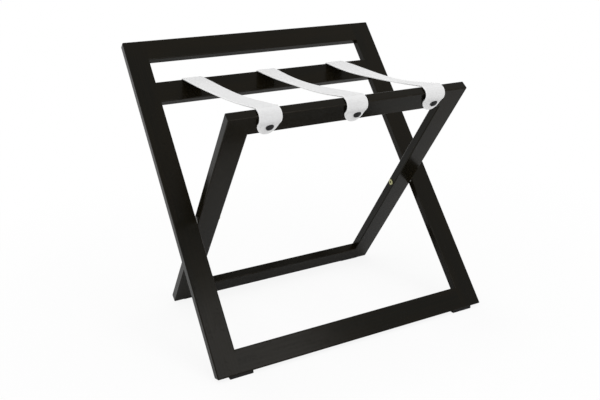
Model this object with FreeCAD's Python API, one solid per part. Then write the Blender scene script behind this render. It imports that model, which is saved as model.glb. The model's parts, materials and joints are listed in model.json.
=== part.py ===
import FreeCAD, Part
import math
import os

# Folding luggage rack: two flat wooden frames that cross on two pivot bolts, with three leather
# straps over their tops. Millimetres, +Z up, +X to the right, +Y to the rear (towards the wall).
# The outer frame leans back and carries the backrest. The inner frame leans forward inside it.

# ---- frames ----
FRAME_WIDTH = 600.0            # over the outer stiles
STOCK_WIDTH = 46.0             # stiles and rails, across their face
STOCK_THICKNESS = 18.0
ARRIS_RADIUS = 2.0             # rounding of every long edge
SIDE_GAP = 2.2                 # between an outer stile and the inner stile beside it
OUTER_LEAN = 37.0              # degrees from upright, to the rear
INNER_LEAN = 39.0              # degrees from upright, to the front
OUTER_BELOW_PIVOT = 306.5      # along the outer frame, from its bottom front arris
OUTER_ABOVE_PIVOT = 407.5      # along the outer frame, up to its top
INNER_ABOVE_PIVOT = 303.0      # along the inner frame, up to its top
HAND_SLOT = 55.0               # between the backrest rail and the rear strap rail
OUTER_END_BEVEL = 22.5         # degrees off square at the outer frame's foot

# ---- dowel joints ----
DOWEL_DIAMETER = 8.0
DOWEL_LENGTH = 40.0
DOWEL_SPACING = 20.0           # between the two dowels of one joint
DOWEL_CLEARANCE = 0.05         # radial, in the holes
DOWEL_END_ROOM = 0.5           # glue room past each end
DOWEL_CHAMFER = 0.8

# ---- pivots ----
SHOULDER_DIAMETER = 8.0
THREAD_DIAMETER = 6.0
THREAD_LENGTH = 15.0
PIVOT_HEAD_DIAMETER = 13.0
PIVOT_HEAD_HEIGHT = 2.0
PIVOT_HEAD_ROUNDING = 0.6
SOCKET_ACROSS_FLATS = 5.0
SOCKET_DEPTH = 4.0
END_PLAY = 0.15                # between the bolt head and the inner stile
RUNNING_CLEARANCE = 0.05       # radial, shoulder in bush
BUSH_WALL = 1.0
SEAT_CLEARANCE = 0.02          # radial, bushes and inserts in the wood
WASHER_DIAMETER = 16.0
WASHER_THICKNESS = 2.0
WASHER_BORE_CLEARANCE = 0.2    # radial
INSERT_WALL = 2.0
INSERT_LENGTH = 18.0
INSERT_DRILL_ROOM = 1.0        # drilled past the insert's end

# ---- straps ----
STRAP_WIDTH = 44.0
STRAP_THICKNESS = 2.8
STRAP_TO_STILE = 9.9           # from an outer strap's edge to the inner stile
STRAP_OFF_WOOD = 0.3           # the leather lies this far off the rails
STRAP_SAG = 8.0                # of the span, below the straight line between the rails
BEND_SHARE = 0.9               # a gentle bend's radius, of the largest one that fits
STRAP_OVERHANG = 2.0           # of the front end, past the lower edge of its rail
STRAP_REAR_STOP = 4.0          # of the rear end, short of the lower edge of its rail
STRAP_TIP_FLAT = 6.0           # of each end, between its two round corners
LOOP_RADIUS = 13.0             # where the stiff leather turns over the front rail
LOOP_STAND_OFF = 4.3           # of the loop, out from the leather that lies on the rail
LOOP_LIFT = 1.5                # of the loop, up from the leather on the rail's top edge
LOOP_LENGTH = 24.0             # down from the rail's top edge to where the leather lies on it

# ---- strap fixings ----
CAP_DIAMETER = 15.0
CAP_HEIGHT = 4.0
CAP_LIFT = 0.3                 # the cap's rim lies this far off the leather
CAP_LAP = 2.5                  # of the front caps, up over the foot of the loop
FRONT_CAP_SHIFTS = (4.5, 8.5, 8.0)     # of each front cap, right of its strap's middle
STRAP_SCREW_DIAMETER = 4.0
STRAP_SCREW_LENGTH = 16.0
STRAP_SCREW_HEAD = 8.0
STRAP_SCREW_HEAD_HEIGHT = 2.0
CAP_INNER_CLEARANCE = 0.4      # around and over the screw head
STRAP_HOLE_CLEARANCE = 0.4     # radial, screw in leather
SCREW_CLEARANCE = 0.03         # radial, screws in the wood
SCREW_POINT = 3.0              # length of a screw's point

# ---- feet ----
FOOT_LENGTH = 46.0
FOOT_INSET = 24.0              # from the frame's side
FOOT_SETBACK = 2.5             # from the frame's front arris, along its end face
FOOT_DEPTH = 13.0              # along the end face
OUTER_FOOT_HEIGHT = 6.4        # floor to the outer frame's front arris
INNER_FOOT_HEIGHT = 0.8        # floor to the inner frame's front arris
FOOT_SCREW_DIAMETER = 3.0
FOOT_SCREW_LENGTH = 10.0
FOOT_SCREW_HEAD = 6.0
FOOT_SCREW_HEAD_HEIGHT = 1.3
FOOT_SCREW_SEAT = 2.4          # floor to the underside of the screw's head
FOOT_SCREW_SPACING = 28.0
FOOT_HOLE_CLEARANCE = 0.3      # radial, screw and head in the rubber

# ---- worked out ----
HALF_WIDTH = FRAME_WIDTH / 2
HALF_T = STOCK_THICKNESS / 2
INNER_HALF_WIDTH = HALF_WIDTH - STOCK_WIDTH - SIDE_GAP
OUTER_LEAN_RAD = math.radians(OUTER_LEAN)
INNER_LEAN_RAD = math.radians(INNER_LEAN)
PIVOT_Z = (OUTER_FOOT_HEIGHT + OUTER_BELOW_PIVOT * math.cos(OUTER_LEAN_RAD)
           - HALF_T * math.sin(OUTER_LEAN_RAD))
INNER_BELOW_PIVOT = ((PIVOT_Z - INNER_FOOT_HEIGHT - HALF_T * math.sin(INNER_LEAN_RAD))
                     / math.cos(INNER_LEAN_RAD))
OUTER_END_RISE = STOCK_THICKNESS * math.tan(math.radians(OUTER_END_BEVEL))
OUTER_STRAP_RAIL_TOP = OUTER_ABOVE_PIVOT - STOCK_WIDTH - HAND_SLOT
STRAP_PITCH = INNER_HALF_WIDTH - STOCK_WIDTH - STRAP_TO_STILE - STRAP_WIDTH / 2
STRAP_CENTRES = (-STRAP_PITCH, 0.0, STRAP_PITCH)
SIDES = {"left": -1, "right": 1}
X = FreeCAD.Vector(1, 0, 0)
Z = FreeCAD.Vector(0, 0, 1)

# Each frame is modelled flat, with its pivot at the origin: X across, Y up the frame and Z out of
# its front face. These placements stand it up on the pivot axis.
OUTER = FreeCAD.Placement(FreeCAD.Vector(0, 0, PIVOT_Z), FreeCAD.Rotation(X, 90 - OUTER_LEAN))
INNER = FreeCAD.Placement(FreeCAD.Vector(0, 0, PIVOT_Z), FreeCAD.Rotation(X, 90 + INNER_LEAN))


def vec(x, y, z):
    return FreeCAD.Vector(x, y, z)


def span_box(x0, x1, y0, y1, z0, z1):
    """A box between two opposite corners."""
    return Part.makeBox(x1 - x0, y1 - y0, z1 - z0, vec(x0, y0, z0))


def rod(radius, length, start, axis):
    return Part.makeCylinder(radius, length, start, axis)


def mirrored(shape):
    """The same piece on the left-hand side."""
    return shape.mirror(vec(0, 0, 0), X)


def extruded_polygon(points, along):
    wire = Part.makePolygon(list(points) + [points[0]])
    return Part.Face(wire).extrude(along)


# ---- the two flat frames ----

def frame_blank(half_width, bottom, top, end_rise, openings):
    """One frame as a single rounded board with its openings; openings are (low, high) along it."""
    profile = [vec(-half_width, bottom, HALF_T), vec(-half_width, top, HALF_T),
               vec(-half_width, top, -HALF_T), vec(-half_width, bottom + end_rise, -HALF_T)]
    board = extruded_polygon(profile, vec(2 * half_width, 0, 0))
    inside = half_width - STOCK_WIDTH
    for low, high in openings:
        board = board.cut(span_box(-inside, inside, low, high, -STOCK_THICKNESS, STOCK_THICKNESS))

    def is_inner_corner(edge):
        middle = edge.CenterOfMass
        runs_through = abs(middle.z) < HALF_T / 2 and abs(edge.BoundBox.ZLength) > HALF_T
        return runs_through and abs(abs(middle.x) - inside) < ARRIS_RADIUS

    return board.makeFillet(ARRIS_RADIUS, [e for e in board.Edges if not is_inner_corner(e)])


def joint_dowels(half_width, rail_middles):
    """The (x, y) middle of each dowel: two in each end of each rail."""
    inside = half_width - STOCK_WIDTH
    places = []
    for middle in rail_middles:
        for side in SIDES.values():
            for offset in (-DOWEL_SPACING / 2, DOWEL_SPACING / 2):
                places.append((side * inside, middle + offset))
    return places


def dowel(x, y):
    body = rod(DOWEL_DIAMETER / 2, DOWEL_LENGTH, vec(x - DOWEL_LENGTH / 2, y, 0), X)
    rims = [e for e in body.Edges if abs(e.BoundBox.XLength) < DOWEL_CHAMFER]
    return body.makeChamfer(DOWEL_CHAMFER, rims)


def dowel_hole(x, y):
    length = DOWEL_LENGTH + 2 * DOWEL_END_ROOM
    return rod(DOWEL_DIAMETER / 2 + DOWEL_CLEARANCE, length, vec(x - length / 2, y, 0), X)


def frame_pieces(prefix, half_width, bottom, top, end_rise, rails, holes):
    """The two stiles and the rails of one frame, cut from one blank so that their faces run on."""
    spans = sorted(rails.values())
    openings = [(low[1], high[0]) for low, high in zip(spans, spans[1:])]
    blank = frame_blank(half_width, bottom, top, end_rise, openings)
    for hole in holes:
        blank = blank.cut(hole)
    inside = half_width - STOCK_WIDTH
    deep = STOCK_THICKNESS
    pieces = {}
    for side, sign in SIDES.items():
        edges = sorted((sign * half_width, sign * inside))
        keep = span_box(edges[0], edges[1], bottom - deep, top + deep, -deep, deep)
        pieces[prefix + "_" + side + "_stile"] = blank.common(keep)
    for name, (low, high) in rails.items():
        keep = span_box(-inside, inside, low - ARRIS_RADIUS, high + ARRIS_RADIUS, -deep, deep)
        pieces[name] = blank.common(keep)
    return pieces


# ---- pivots, made for the right-hand side ----

def pivot_bolt():
    stile_face = INNER_HALF_WIDTH - STOCK_WIDTH
    shoulder_end = HALF_WIDTH - STOCK_WIDTH
    head_back = stile_face - END_PLAY
    head_front = head_back - PIVOT_HEAD_HEIGHT
    head = rod(PIVOT_HEAD_DIAMETER / 2, PIVOT_HEAD_HEIGHT, vec(head_front, 0, 0), X)
    rim = [e for e in head.Edges if e.BoundBox.XMax < head_front + END_PLAY]
    head = head.makeFillet(PIVOT_HEAD_ROUNDING, rim)
    shoulder = rod(SHOULDER_DIAMETER / 2, shoulder_end - head_back, vec(head_back, 0, 0), X)
    thread = rod(THREAD_DIAMETER / 2, THREAD_LENGTH, vec(shoulder_end, 0, 0), X)
    corner = SOCKET_ACROSS_FLATS / 2 / math.cos(math.pi / 6)
    hexagon = [vec(head_front, corner * math.cos(k * math.pi / 3), corner * math.sin(k * math.pi / 3))
               for k in range(6)]
    socket = extruded_polygon(hexagon, vec(SOCKET_DEPTH, 0, 0))
    return head.fuse(shoulder).fuse(thread).removeSplitter().cut(socket)


def pivot_bush():
    start = vec(INNER_HALF_WIDTH - STOCK_WIDTH, 0, 0)
    bore = SHOULDER_DIAMETER / 2 + RUNNING_CLEARANCE
    return rod(bore + BUSH_WALL, STOCK_WIDTH, start, X).cut(rod(bore, STOCK_WIDTH, start, X))


def bush_hole():
    radius = SHOULDER_DIAMETER / 2 + RUNNING_CLEARANCE + BUSH_WALL + SEAT_CLEARANCE
    return rod(radius, STOCK_WIDTH, vec(INNER_HALF_WIDTH - STOCK_WIDTH, 0, 0), X)


def pivot_washer():
    start = vec(HALF_WIDTH - STOCK_WIDTH - WASHER_THICKNESS, 0, 0)
    bore = SHOULDER_DIAMETER / 2 + WASHER_BORE_CLEARANCE
    disc = rod(WASHER_DIAMETER / 2, WASHER_THICKNESS, start, X)
    return disc.cut(rod(bore, WASHER_THICKNESS, start, X))


def threaded_insert():
    start = vec(HALF_WIDTH - STOCK_WIDTH, 0, 0)
    bore = THREAD_DIAMETER / 2 + RUNNING_CLEARANCE
    return rod(bore + INSERT_WALL, INSERT_LENGTH, start, X).cut(rod(bore, INSERT_LENGTH, start, X))


def insert_hole():
    radius = THREAD_DIAMETER / 2 + RUNNING_CLEARANCE + INSERT_WALL + SEAT_CLEARANCE
    return rod(radius, INSERT_LENGTH + INSERT_DRILL_ROOM, vec(HALF_WIDTH - STOCK_WIDTH, 0, 0), X)


# ---- screws ----

def pan_screw(head_diameter, head_height, diameter, length):
    """Standing on its point: the head's underside is at Z = 0 and the shank goes down."""
    head = rod(head_diameter / 2, head_height, vec(0, 0, 0), Z)
    rim = [e for e in head.Edges if e.BoundBox.ZMin > head_height / 2]
    head = head.makeFillet(head_height / 3, rim)
    shank = rod(diameter / 2, length - SCREW_POINT, vec(0, 0, SCREW_POINT - length), Z)
    point = Part.makeCone(diameter / 8, diameter / 2, SCREW_POINT, vec(0, 0, -length), Z)
    return head.fuse(shank).fuse(point).removeSplitter()


def screw_hole(diameter, length):
    """For the same screw, with its mouth well past the surface."""
    return rod(diameter / 2 + SCREW_CLEARANCE, 2 * length, vec(0, 0, -length), Z)


# ---- straps ----

STRAP_LINE = STRAP_OFF_WOOD + STRAP_THICKNESS / 2      # rail face to the middle of the leather
FRONT_TAB = STOCK_WIDTH + STRAP_OVERHANG               # down the rail from its top edge
REAR_TAB = STOCK_WIDTH - STRAP_REAR_STOP
FRONT_CAP_DOWN = LOOP_LENGTH + CAP_DIAMETER / 2 - CAP_LAP
REAR_CAP_DOWN = FRONT_CAP_DOWN - FRONT_TAB + REAR_TAB  # as far from its tip as the front one


def on_frame(placement, y, z):
    """A point of a flat frame, in the side view (y, z) of the standing rack."""
    point = placement.multVec(vec(0, y, z))
    return (point.y, point.z)


def belt_edges(stations, offset):
    """The edges of a line wrapped round circles, moved sideways by offset (left is positive).
    A station is (centre, radius, turn); turn is 1 to the left, -1 to the right, 0 for an end."""
    straights = []
    for (c0, r0, s0), (c1, r1, s1) in zip(stations, stations[1:]):
        dy, dz = c1[0] - c0[0], c1[1] - c0[1]
        shift = s1 * r1 - s0 * r0
        reach = math.sqrt(dy * dy + dz * dz - shift * shift)
        angle = math.atan2(dz, dy) - math.atan2(shift, reach)
        normal = (-math.sin(angle), math.cos(angle))
        start = (c0[0] - s0 * r0 * normal[0], c0[1] - s0 * r0 * normal[1])
        end = (c1[0] - s1 * r1 * normal[0], c1[1] - s1 * r1 * normal[1])
        straights.append([vec(0, p[0] + offset * normal[0], p[1] + offset * normal[1])
                          for p in (start, end)] + [angle])
    edges = []
    for k, (start, end, angle) in enumerate(straights):
        edges.append(Part.makeLine(start, end))
        if k + 1 < len(straights):
            centre, radius, turn = stations[k + 1]
            half_turn = (straights[k + 1][2] - angle) / 2
            middle = angle + half_turn - turn * math.pi / 2
            far = radius - turn * offset
            crown = vec(0, centre[0] + far * math.cos(middle), centre[1] + far * math.sin(middle))
            edges.append(Part.Arc(end, crown, straights[k + 1][0]).toShape())
    return edges


def strap_stations():
    """The middle of the leather in the side view, from its front end to its rear end."""
    wrap = ARRIS_RADIUS + STRAP_LINE
    top = INNER_ABOVE_PIVOT
    out = HALF_T + STRAP_LINE
    loop_down = LOOP_RADIUS - LOOP_LIFT - STRAP_LINE
    run_up = LOOP_LENGTH - loop_down
    both_radii = (run_up ** 2 + LOOP_STAND_OFF ** 2) / 2 / LOOP_STAND_OFF
    flare_radius = BEND_SHARE * (both_radii - LOOP_RADIUS)
    front_end = on_frame(INNER, top - FRONT_TAB, out)
    flare = on_frame(INNER, top - LOOP_LENGTH, out + flare_radius)
    loop = on_frame(INNER, top - loop_down, out + LOOP_STAND_OFF - LOOP_RADIUS)
    front_edge = on_frame(INNER, top - ARRIS_RADIUS, ARRIS_RADIUS - HALF_T)
    rail = OUTER_STRAP_RAIL_TOP
    rear_edge = on_frame(OUTER, rail - ARRIS_RADIUS, HALF_T - ARRIS_RADIUS)
    rear_top = on_frame(OUTER, rail - ARRIS_RADIUS, ARRIS_RADIUS - HALF_T)
    rear_end = on_frame(OUTER, rail - REAR_TAB, -out)
    across, rise = rear_edge[0] - front_edge[0], rear_edge[1] - front_edge[1]
    span = math.hypot(across, rise)
    largest = (span ** 2 / 4 + STRAP_SAG ** 2) / 2 / STRAP_SAG - wrap
    sag_radius = BEND_SHARE * largest
    height = wrap - STRAP_SAG + sag_radius
    sag = ((front_edge[0] + rear_edge[0]) / 2 - height * rise / span,
           (front_edge[1] + rear_edge[1]) / 2 + height * across / span)
    return [(front_end, 0, 0), (flare, flare_radius, 1), (loop, LOOP_RADIUS, -1),
            (front_edge, wrap, -1), (sag, sag_radius, 1), (rear_edge, wrap, -1),
            (rear_top, wrap, -1), (rear_end, 0, 0)]


def strap(centre_x, cap_shift):
    stations = strap_stations()
    above = belt_edges(stations, STRAP_THICKNESS / 2)
    below = belt_edges(stations, -STRAP_THICKNESS / 2)
    caps = [Part.makeLine(above[0].Vertexes[0].Point, below[0].Vertexes[0].Point),
            Part.makeLine(above[-1].Vertexes[-1].Point, below[-1].Vertexes[-1].Point)]
    section = Part.Face(Part.Wire(Part.__sortEdges__(above + below + caps)))
    section.translate(vec(centre_x - STRAP_WIDTH / 2, 0, 0))
    leather = section.extrude(vec(STRAP_WIDTH, 0, 0))
    ends = []
    for placement, y, z in ((INNER, INNER_ABOVE_PIVOT - FRONT_TAB, HALF_T + STRAP_LINE),
                            (OUTER, OUTER_STRAP_RAIL_TOP - REAR_TAB, -HALF_T - STRAP_LINE)):
        for side in SIDES.values():
            ends.append(placement.multVec(vec(centre_x + side * STRAP_WIDTH / 2, y, z)))
    corners = [e for e in leather.Edges
               if min((e.CenterOfMass - p).Length for p in ends) < STRAP_THICKNESS / 4]
    leather = leather.makeFillet((STRAP_WIDTH - STRAP_TIP_FLAT) / 2, corners)
    for placement in (front_fixing(centre_x + cap_shift), rear_fixing(centre_x)):
        hole = rod(STRAP_SCREW_DIAMETER / 2 + STRAP_HOLE_CLEARANCE, 2 * STRAP_SCREW_LENGTH,
                   vec(0, 0, -STRAP_SCREW_LENGTH), Z)
        hole.Placement = placement
        leather = leather.cut(hole)
    return leather


def fixing(frame, centre_x, y, facing):
    """Where a cap sits on the leather: its Z points out of the rail's face."""
    height = HALF_T + STRAP_OFF_WOOD + STRAP_THICKNESS + CAP_LIFT
    turn = FreeCAD.Rotation(X, 0 if facing > 0 else 180)
    return frame.multiply(FreeCAD.Placement(vec(centre_x, y, facing * height), turn))


def front_fixing(centre_x):
    return fixing(INNER, centre_x, INNER_ABOVE_PIVOT - FRONT_CAP_DOWN, 1)


def rear_fixing(centre_x):
    return fixing(OUTER, centre_x, OUTER_STRAP_RAIL_TOP - REAR_CAP_DOWN, -1)


def strap_cap():
    """A domed cap with a round hollow for the screw's head; its rim is at Z = 0."""
    rim_radius = CAP_DIAMETER / 2
    ball_radius = (rim_radius ** 2 + CAP_HEIGHT ** 2) / 2 / CAP_HEIGHT
    ball = Part.makeSphere(ball_radius, vec(0, 0, CAP_HEIGHT - ball_radius))
    dome = ball.common(rod(2 * rim_radius, 2 * CAP_HEIGHT, vec(0, 0, 0), Z))
    hollow = rod(STRAP_SCREW_HEAD / 2 + CAP_INNER_CLEARANCE,
                 STRAP_SCREW_HEAD_HEIGHT + CAP_INNER_CLEARANCE, vec(0, 0, 0), Z)
    return dome.cut(hollow)


def strap_screw():
    return pan_screw(STRAP_SCREW_HEAD, STRAP_SCREW_HEAD_HEIGHT, STRAP_SCREW_DIAMETER,
                     STRAP_SCREW_LENGTH)


# ---- feet, in the standing rack ----

def foot_line(frame, arris_y, lean_rise):
    """The frame's front arris in the side view, and the direction of its end face to the rear."""
    front = on_frame(frame, arris_y, HALF_T)
    rear = on_frame(frame, arris_y + lean_rise, -HALF_T)
    length = math.hypot(rear[0] - front[0], rear[1] - front[1])
    return front, ((rear[0] - front[0]) / length, (rear[1] - front[1]) / length)


def foot(line, side, half_width):
    """A tapered pad: its top lies on the end face and its underside is level on the floor."""
    front, along = line
    near = (front[0] + FOOT_SETBACK * along[0], front[1] + FOOT_SETBACK * along[1])
    reach = FOOT_SETBACK + FOOT_DEPTH
    far = (front[0] + reach * along[0], front[1] + reach * along[1])
    x = SIDES[side] * (half_width - FOOT_INSET - FOOT_LENGTH / 2) - FOOT_LENGTH / 2
    outline = [vec(x, near[0], 0), vec(x, near[0], near[1]), vec(x, far[0], far[1]),
               vec(x, far[0], 0)]
    pad = extruded_polygon(outline, vec(FOOT_LENGTH, 0, 0))
    for place in foot_screw_places(line, side, half_width):
        pad = pad.cut(rod(FOOT_SCREW_DIAMETER / 2 + FOOT_HOLE_CLEARANCE, 4 * FOOT_SCREW_LENGTH,
                          vec(place.x, place.y, -FOOT_SCREW_LENGTH), Z))
        pad = pad.cut(rod(FOOT_SCREW_HEAD / 2 + FOOT_HOLE_CLEARANCE, FOOT_SCREW_SEAT,
                          vec(place.x, place.y, 0), Z))
    return pad


def foot_screw_places(line, side, half_width):
    front, along = line
    y = front[0] + (FOOT_SETBACK + FOOT_DEPTH / 2) * along[0]
    middle = SIDES[side] * (half_width - FOOT_INSET - FOOT_LENGTH / 2)
    return [vec(middle + offset, y, FOOT_SCREW_SEAT)
            for offset in (-FOOT_SCREW_SPACING / 2, FOOT_SCREW_SPACING / 2)]


def upward(place):
    """Turns a screw so that it is driven up into the frame from its seat."""
    return FreeCAD.Placement(place, FreeCAD.Rotation(X, 180))


def placed(shape, placement):
    copy = shape.copy()
    copy.Placement = placement
    return copy


def into_frame(hole, frame, placement):
    """A hole given in the standing rack, in the flat frame's own coordinates."""
    return placed(hole, frame.inverse().multiply(placement))


# ---- the whole rack ----

def main():
    os.makedirs("parts", exist_ok=True)
    pieces = {}

    outer_line = foot_line(OUTER, -OUTER_BELOW_PIVOT, OUTER_END_RISE)
    inner_line = foot_line(INNER, -INNER_BELOW_PIVOT, 0.0)
    outer_screws = [upward(p) for side in SIDES
                    for p in foot_screw_places(outer_line, side, HALF_WIDTH)]
    inner_screws = [upward(p) for side in SIDES
                    for p in foot_screw_places(inner_line, side, INNER_HALF_WIDTH)]
    front_fixings = [front_fixing(x + shift) for x, shift in zip(STRAP_CENTRES, FRONT_CAP_SHIFTS)]
    rear_fixings = [rear_fixing(x) for x in STRAP_CENTRES]
    strap_hole = screw_hole(STRAP_SCREW_DIAMETER, STRAP_SCREW_LENGTH)
    foot_hole = screw_hole(FOOT_SCREW_DIAMETER, FOOT_SCREW_LENGTH)

    outer_rails = {
        "outer_bottom_rail": (-OUTER_BELOW_PIVOT, STOCK_WIDTH - OUTER_BELOW_PIVOT),
        "rear_strap_rail": (OUTER_STRAP_RAIL_TOP - STOCK_WIDTH, OUTER_STRAP_RAIL_TOP),
        "backrest_rail": (OUTER_ABOVE_PIVOT - STOCK_WIDTH, OUTER_ABOVE_PIVOT)}
    inner_rails = {
        "inner_bottom_rail": (-INNER_BELOW_PIVOT, STOCK_WIDTH - INNER_BELOW_PIVOT),
        "front_strap_rail": (INNER_ABOVE_PIVOT - STOCK_WIDTH, INNER_ABOVE_PIVOT)}
    outer_dowels = joint_dowels(HALF_WIDTH, [sum(span) / 2 for span in outer_rails.values()])
    inner_dowels = joint_dowels(INNER_HALF_WIDTH, [sum(span) / 2 for span in inner_rails.values()])

    outer_holes = [dowel_hole(x, y) for x, y in outer_dowels]
    outer_holes += [insert_hole(), mirrored(insert_hole())]
    outer_holes += [into_frame(strap_hole, OUTER, p) for p in rear_fixings]
    outer_holes += [into_frame(foot_hole, OUTER, p) for p in outer_screws]
    inner_holes = [dowel_hole(x, y) for x, y in inner_dowels]
    inner_holes += [bush_hole(), mirrored(bush_hole())]
    inner_holes += [into_frame(strap_hole, INNER, p) for p in front_fixings]
    inner_holes += [into_frame(foot_hole, INNER, p) for p in inner_screws]

    outer = frame_pieces("outer", HALF_WIDTH, -OUTER_BELOW_PIVOT, OUTER_ABOVE_PIVOT,
                         OUTER_END_RISE, outer_rails, outer_holes)
    outer["outer_frame_dowels"] = Part.Compound([dowel(x, y) for x, y in outer_dowels])
    inner = frame_pieces("inner", INNER_HALF_WIDTH, -INNER_BELOW_PIVOT, INNER_ABOVE_PIVOT,
                         0.0, inner_rails, inner_holes)
    inner["inner_frame_dowels"] = Part.Compound([dowel(x, y) for x, y in inner_dowels])
    for name, shape in outer.items():
        pieces[name] = placed(shape, OUTER)
    for name, shape in inner.items():
        pieces[name] = placed(shape, INNER)

    pivot_parts = {"pivot_bolt": (pivot_bolt(), OUTER), "pivot_washer": (pivot_washer(), OUTER),
                   "threaded_insert": (threaded_insert(), OUTER), "pivot_bush": (pivot_bush(), INNER)}
    for name, (shape, frame) in pivot_parts.items():
        pieces["right_" + name] = placed(shape, frame)
        pieces["left_" + name] = placed(mirrored(shape), frame)

    for name, centre_x, shift in zip(("left", "centre", "right"), STRAP_CENTRES, FRONT_CAP_SHIFTS):
        pieces["strap_" + name] = strap(centre_x, shift)
    for row, spots in (("front", front_fixings), ("rear", rear_fixings)):
        pieces[row + "_strap_caps"] = Part.Compound([placed(strap_cap(), p) for p in spots])
        pieces[row + "_strap_screws"] = Part.Compound([placed(strap_screw(), p) for p in spots])

    foot_screw = pan_screw(FOOT_SCREW_HEAD, FOOT_SCREW_HEAD_HEIGHT, FOOT_SCREW_DIAMETER,
                           FOOT_SCREW_LENGTH)
    for side in SIDES:
        pieces["outer_" + side + "_foot"] = foot(outer_line, side, HALF_WIDTH)
        pieces["inner_" + side + "_foot"] = foot(inner_line, side, INNER_HALF_WIDTH)
    pieces["outer_foot_screws"] = Part.Compound([placed(foot_screw, p) for p in outer_screws])
    pieces["inner_foot_screws"] = Part.Compound([placed(foot_screw, p) for p in inner_screws])

    # The origin is on the floor, under the middle of the whole rack.
    extent = Part.Compound(list(pieces.values())).optimalBoundingBox(False, False)
    shift = vec(0, -(extent.YMin + extent.YMax) / 2, 0)
    for name, shape in pieces.items():
        shape.translate(shift)
        shape.exportStep(os.path.join("parts", name + ".step"))
    print("pieces", len(pieces), "pivot y %.3f z %.3f" % (shift.y, PIVOT_Z))
    print("extent y %.2f to %.2f, z %.2f to %.2f"
          % (extent.YMin, extent.YMax, extent.ZMin, extent.ZMax))


main()
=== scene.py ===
"""Dresses a folding luggage rack: stained boards, leather straps, pivots, caps and pads."""

import json
import math

import bpy
from bpy.props import FloatProperty, FloatVectorProperty, IntProperty, PointerProperty
from bpy.types import Operator, Panel, PropertyGroup
from mathutils import Matrix, Vector


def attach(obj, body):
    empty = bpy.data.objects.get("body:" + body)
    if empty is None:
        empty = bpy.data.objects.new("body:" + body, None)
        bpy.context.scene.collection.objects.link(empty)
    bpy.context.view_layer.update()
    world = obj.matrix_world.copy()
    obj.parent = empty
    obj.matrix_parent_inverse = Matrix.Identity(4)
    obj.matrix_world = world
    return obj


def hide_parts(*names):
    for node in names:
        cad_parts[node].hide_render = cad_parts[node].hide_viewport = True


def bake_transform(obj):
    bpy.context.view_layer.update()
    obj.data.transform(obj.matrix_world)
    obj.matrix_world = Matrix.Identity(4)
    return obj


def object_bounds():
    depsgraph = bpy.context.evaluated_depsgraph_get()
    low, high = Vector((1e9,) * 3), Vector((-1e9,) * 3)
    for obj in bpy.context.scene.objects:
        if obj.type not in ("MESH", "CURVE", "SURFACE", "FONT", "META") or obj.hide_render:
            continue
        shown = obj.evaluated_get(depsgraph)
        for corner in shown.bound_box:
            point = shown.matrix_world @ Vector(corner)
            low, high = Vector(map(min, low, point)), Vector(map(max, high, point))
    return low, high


bl_info = {
    "name": "Folding luggage rack",
    "version": (1, 0, 0),
    "blender": (4, 5, 0),
    "location": "View3D > Sidebar > Rack",
    "description": "Finishes, straps, caps and a small studio for a folding luggage rack",
    "category": "Add Mesh",
}

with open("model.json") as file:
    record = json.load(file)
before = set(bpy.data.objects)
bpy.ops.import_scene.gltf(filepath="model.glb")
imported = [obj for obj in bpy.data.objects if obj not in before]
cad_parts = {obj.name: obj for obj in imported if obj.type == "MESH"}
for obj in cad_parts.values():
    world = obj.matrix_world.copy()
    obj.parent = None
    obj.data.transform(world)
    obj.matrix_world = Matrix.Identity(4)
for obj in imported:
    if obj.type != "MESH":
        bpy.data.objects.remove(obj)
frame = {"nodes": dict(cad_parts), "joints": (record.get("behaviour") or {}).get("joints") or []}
CAD_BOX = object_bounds()

MM = 0.001
PIVOT = Vector(frame["joints"][0]["pos_m"])
OUTER = "outer_frame"
INNER = "inner_frame"
SIDES = ("left", "right")
STRAPS = ("left", "centre", "right")

# The standing rack's axes: along the rails, to the rear and up.
ACROSS = Vector((1.0, 0.0, 0.0))
REARWARD = Vector((0.0, 1.0, 0.0))
UPWARD = Vector((0.0, 0.0, 1.0))
WHITE = (1.0, 1.0, 1.0, 1.0)

# The outer frame leans to the rear and the inner one to the front, in degrees.
OUTER_LEAN = 37
INNER_LEAN = 39
OUTER_TURN = math.radians(90 - OUTER_LEAN)
INNER_TURN = math.radians(90 + INNER_LEAN)


# ---- the two flat frames in the side view ----

def up_frame(turn):
    """The direction up a frame."""
    return Vector((0.0, math.cos(turn), math.sin(turn)))


def out_of_frame(turn):
    """The direction out of a frame's front face."""
    return Vector((0.0, -math.sin(turn), math.cos(turn)))


def on_frame(turn, x, up, out):
    """Where a place on a flat frame, measured from the pivot, lies in the standing rack."""
    return Vector((x, PIVOT.y, PIVOT.z)) + up * up_frame(turn) + out * out_of_frame(turn)


# ---- shader arithmetic ----

def eased(share):
    """The same share from 0 to 1, with a soft start and end."""
    return share * share * (3.0 - 2.0 * share)


def rgba(colour):
    """A plain colour with its alpha; a colour that comes from a node stays as it is."""
    return colour if isinstance(colour, bpy.types.NodeSocket) else (*colour, 1.0)


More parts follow.
